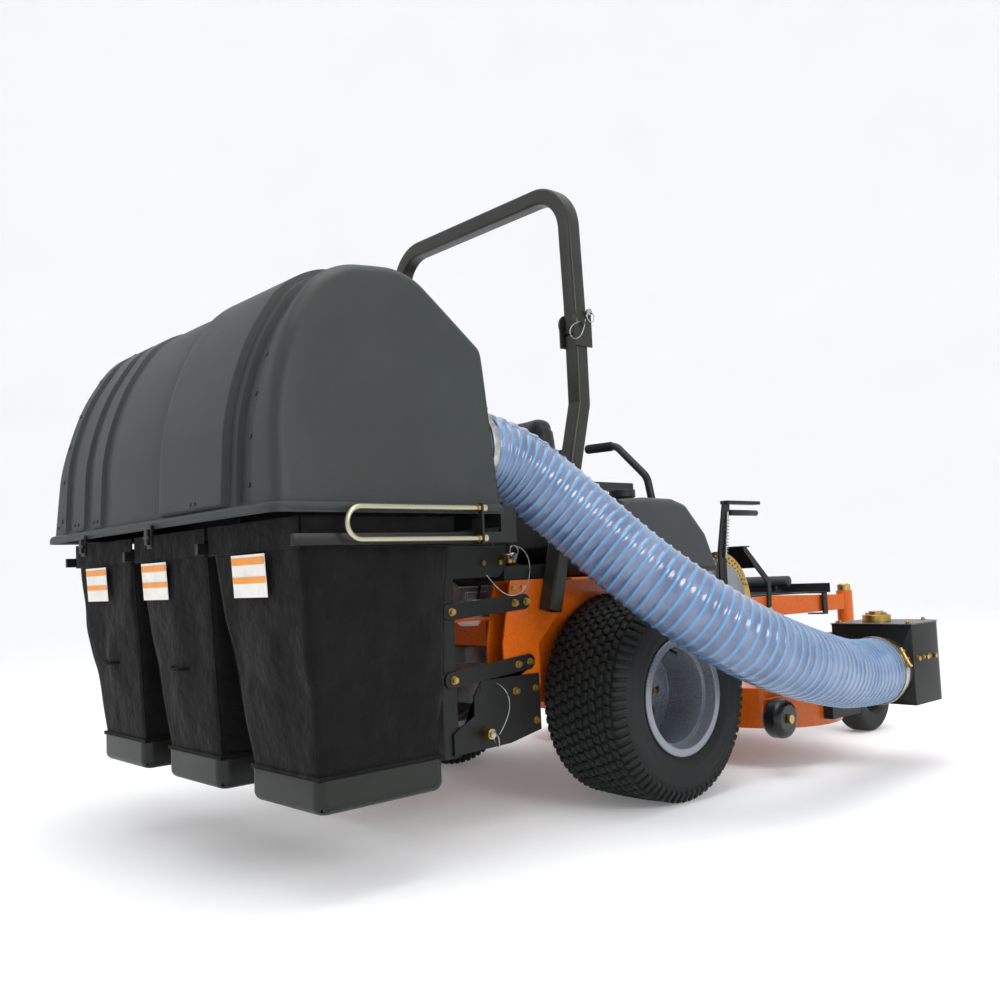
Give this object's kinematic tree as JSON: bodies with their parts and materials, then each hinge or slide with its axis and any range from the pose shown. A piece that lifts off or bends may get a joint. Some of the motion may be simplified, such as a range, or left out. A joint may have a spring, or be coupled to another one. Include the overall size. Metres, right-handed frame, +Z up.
{
  "type": "zero turn mower",
  "caption": "Rear-drive zero turn mower with folding roll bar, side blower, ribbed suction hose and a rear hood over hanging grass bags.",
  "frame": {"origin": "on the ground straight below the middle of the drive axle", "axes": "+Y forward, +X to the operator's right, +Z up"},
  "size_m": [1.7104, 2.846, 1.85],
  "materials": {
    "orange_paint": "gloss",
    "black_paint": "satin",
    "rollbar_paint": "satin",
    "zinc": "passivated",
    "bright_steel": "rolled",
    "rim_paint": "satin",
    "tyre_rubber": "matte",
    "hood_plastic": "grained",
    "tank_plastic": "grained",
    "black_plastic": "grained",
    "tray_plastic": "satin",
    "bag_fabric": "woven",
    "seat_vinyl": "grained",
    "hose_vinyl": "gloss",
    "cast_alloy": "cast",
    "belt_rubber": "matte"
  },
  "bodies": {
    "chassis": {"main_frame": "orange_paint", "cross_members": "orange_paint", "caster_arms": "orange_paint", "floor_pan": "black_paint", "engine_block": "cast_alloy", "engine_shroud": "black_plastic", "muffler": "black_paint", "fuel_tanks": "tank_plastic", "oil_tank": "black_plastic", "hydro_drives": "cast_alloy", "seat_base": "black_paint", "height_sector": "zinc", "rops_posts": "rollbar_paint", "bagger_links": "black_paint", "bagger_frame": "black_paint", "bagger_bulkhead": "black_paint", "guard_rods": "zinc", "suction_hose": "hose_vinyl", "chassis_hardware": "zinc"},
    "seat": {"seat_pan": "black_paint", "seat_cushion": "seat_vinyl", "seat_back": "seat_vinyl"},
    "rops_hoop": {"rops_hoop": "rollbar_paint"},
    "deck": {"deck_shell": "orange_paint", "spindle_housings": "black_paint", "deck_belt": "belt_rubber", "blower_housing": "black_paint", "blower_cover": "bright_steel", "deck_hardware": "zinc"},
    "blade_right": {"blade_right": "bright_steel"},
    "blade_centre": {"blade_centre": "bright_steel"},
    "blade_left": {"blade_left": "bright_steel"},
    "impeller": {"impeller": "bright_steel"},
    "hood": {"hood_lid": "hood_plastic"},
    "lift_pedal": {"lift_pedal": "black_paint"},
    "height_lever": {"height_lever": "black_paint"},
    "drive_wheel_right": {"drive_tyre_right": "tyre_rubber", "drive_rim_right": "rim_paint"},
    "caster_fork_right": {"caster_fork_right": "orange_paint"},
    "caster_wheel_right": {"caster_wheel_right": "tyre_rubber"},
    "rops_pin_right": {"rops_pin_right": "zinc"},
    "armrest_right": {"armrest_right": "black_plastic"},
    "lap_bar_right": {"lap_bar_right": "black_paint"},
    "roller_right": {"roller_right": "black_plastic"},
    "fuel_cap_right": {"fuel_cap_right": "black_plastic"},
    "drive_wheel_left": {"drive_tyre_left": "tyre_rubber", "drive_rim_left": "rim_paint"},
    "caster_fork_left": {"caster_fork_left": "orange_paint"},
    "caster_wheel_left": {"caster_wheel_left": "tyre_rubber"},
    "rops_pin_left": {"rops_pin_left": "zinc"},
    "armrest_left": {"armrest_left": "black_plastic"},
    "lap_bar_left": {"lap_bar_left": "black_paint"},
    "roller_left": {"roller_left": "black_plastic"},
    "fuel_cap_left": {"fuel_cap_left": "black_plastic"},
    "bag_right": {"bag_right": "bag_fabric", "tray_right": "tray_plastic"},
    "bag_centre": {"bag_centre": "bag_fabric", "tray_centre": "tray_plastic"},
    "bag_left": {"bag_left": "bag_fabric", "tray_left": "tray_plastic"}
  },
  "joints": [
    {"name": "deck_lift", "type": "slide", "parent": "chassis", "child": "deck", "axis": [0, 0, -1], "range_m": [0, 0.09], "deforming": ["suction_hose"]},
    {"name": "lift_pedal_turn", "type": "hinge", "parent": "chassis", "child": "lift_pedal", "pos_m": [0.334, 0.933, 0.494], "axis": [1, 0, 0], "range_deg": [0, 20]},
    {"name": "height_lever_turn", "type": "hinge", "parent": "chassis", "child": "height_lever", "pos_m": [0.365, 0.612, 0.528], "axis": [-1, 0, 0], "range_deg": [0, 30]},
    {"name": "blade_spin_right", "type": "hinge", "parent": "deck", "child": "blade_right", "pos_m": [0.43, 0.74, 0.2], "axis": [0, 0, 1], "continuous": true},
    {"name": "blade_spin_centre", "type": "hinge", "parent": "deck", "child": "blade_centre", "pos_m": [0, 0.91, 0.2], "axis": [0, 0, 1], "continuous": true},
    {"name": "blade_spin_left", "type": "hinge", "parent": "deck", "child": "blade_left", "pos_m": [-0.43, 0.74, 0.2], "axis": [0, 0, 1], "continuous": true},
    {"name": "impeller_spin", "type": "hinge", "parent": "deck", "child": "impeller", "pos_m": [0.8, 0.838, 0.3], "axis": [0, 0, 1], "continuous": true},
    {"name": "rops_fold", "type": "hinge", "parent": "chassis", "child": "rops_hoop", "pos_m": [0, -0.155, 1.4], "axis": [1, 0, 0], "range_deg": [0, 95]},
    {"name": "hood_open", "type": "hinge", "parent": "chassis", "child": "hood", "pos_m": [0, -0.682, 1.246], "axis": [-1, 0, 0], "range_deg": [0, 55]},
    {"name": "seat_slide", "type": "slide", "parent": "chassis", "child": "seat", "axis": [0, 1, 0], "range_m": [-0.05, 0.05]},
    {"name": "drive_wheel_spin_right", "type": "hinge", "parent": "chassis", "child": "drive_wheel_right", "pos_m": [0.5, 0, 0.3], "axis": [1, 0, 0], "continuous": true},
    {"name": "caster_swivel_right", "type": "hinge", "parent": "chassis", "child": "caster_fork_right", "pos_m": [0.436, 1.3, 0.45], "axis": [0, 0, 1], "continuous": true},
    {"name": "caster_spin_right", "type": "hinge", "parent": "caster_fork_right", "child": "caster_wheel_right", "pos_m": [0.436, 1.388, 0.14], "axis": [1, 0, 0], "continuous": true},
    {"name": "rops_pin_pull_right", "type": "slide", "parent": "rops_hoop", "child": "rops_pin_right", "axis": [1, 0, 0], "range_m": [0, 0.03]},
    {"name": "armrest_lift_right", "type": "hinge", "parent": "seat", "child": "armrest_right", "pos_m": [0.26, 0.035, 0.935], "axis": [1, 0, 0], "range_deg": [0, 80]},
    {"name": "lap_bar_swing_right", "type": "hinge", "parent": "chassis", "child": "lap_bar_right", "pos_m": [0.311, 0.35, 0.65], "axis": [1, 0, 0], "range_deg": [-12, 8]},
    {"name": "roller_spin_right", "type": "hinge", "parent": "deck", "child": "roller_right", "pos_m": [0.645, 0.47, 0.178], "axis": [1, 0, 0], "continuous": true},
    {"name": "fuel_cap_turn_right", "type": "hinge", "parent": "chassis", "child": "fuel_cap_right", "pos_m": [0.43, 0.02, 0.89], "axis": [0, 0, 1], "range_deg": [0, 270]},
    {"name": "drive_wheel_spin_left", "type": "hinge", "parent": "chassis", "child": "drive_wheel_left", "pos_m": [-0.5, 0, 0.3], "axis": [1, 0, 0], "continuous": true},
    {"name": "caster_swivel_left", "type": "hinge", "parent": "chassis", "child": "caster_fork_left", "pos_m": [-0.436, 1.3, 0.45], "axis": [0, 0, 1], "continuous": true},
    {"name": "caster_spin_left", "type": "hinge", "parent": "caster_fork_left", "child": "caster_wheel_left", "pos_m": [-0.436, 1.388, 0.14], "axis": [1, 0, 0], "continuous": true},
    {"name": "rops_pin_pull_left", "type": "slide", "parent": "rops_hoop", "child": "rops_pin_left", "axis": [-1, 0, 0], "range_m": [0, 0.03]},
    {"name": "armrest_lift_left", "type": "hinge", "parent": "seat", "child": "armrest_left", "pos_m": [-0.26, 0.035, 0.935], "axis": [1, 0, 0], "range_deg": [0, 80]},
    {"name": "lap_bar_swing_left", "type": "hinge", "parent": "chassis", "child": "lap_bar_left", "pos_m": [-0.311, 0.35, 0.65], "axis": [1, 0, 0], "range_deg": [-12, 8]},
    {"name": "roller_spin_left", "type": "hinge", "parent": "deck", "child": "roller_left", "pos_m": [-0.645, 0.47, 0.178], "axis": [1, 0, 0], "continuous": true},
    {"name": "fuel_cap_turn_left", "type": "hinge", "parent": "chassis", "child": "fuel_cap_left", "pos_m": [-0.43, 0.02, 0.89], "axis": [0, 0, 1], "range_deg": [0, 270]},
    {"name": "bag_slide_right", "type": "slide", "parent": "chassis", "child": "bag_right", "axis": [0, -1, 0], "range_m": [0, 0.35]},
    {"name": "bag_slide_centre", "type": "slide", "parent": "chassis", "child": "bag_centre", "axis": [0, -1, 0], "range_m": [0, 0.35]},
    {"name": "bag_slide_left", "type": "slide", "parent": "chassis", "child": "bag_left", "axis": [0, -1, 0], "range_m": [0, 0.35]}
  ],
  "couplings": [
    {"joint": "lift_pedal_turn", "follows": "deck_lift", "rad_per_m": 3.8785},
    {"joint": "height_lever_turn", "follows": "deck_lift", "rad_per_m": 5.8178},
    {"joint": "blade_spin_centre", "follows": "blade_spin_right", "ratio": 1},
    {"joint": "blade_spin_left", "follows": "blade_spin_right", "ratio": 1},
    {"joint": "impeller_spin", "follows": "blade_spin_right", "ratio": 1}
  ]
}
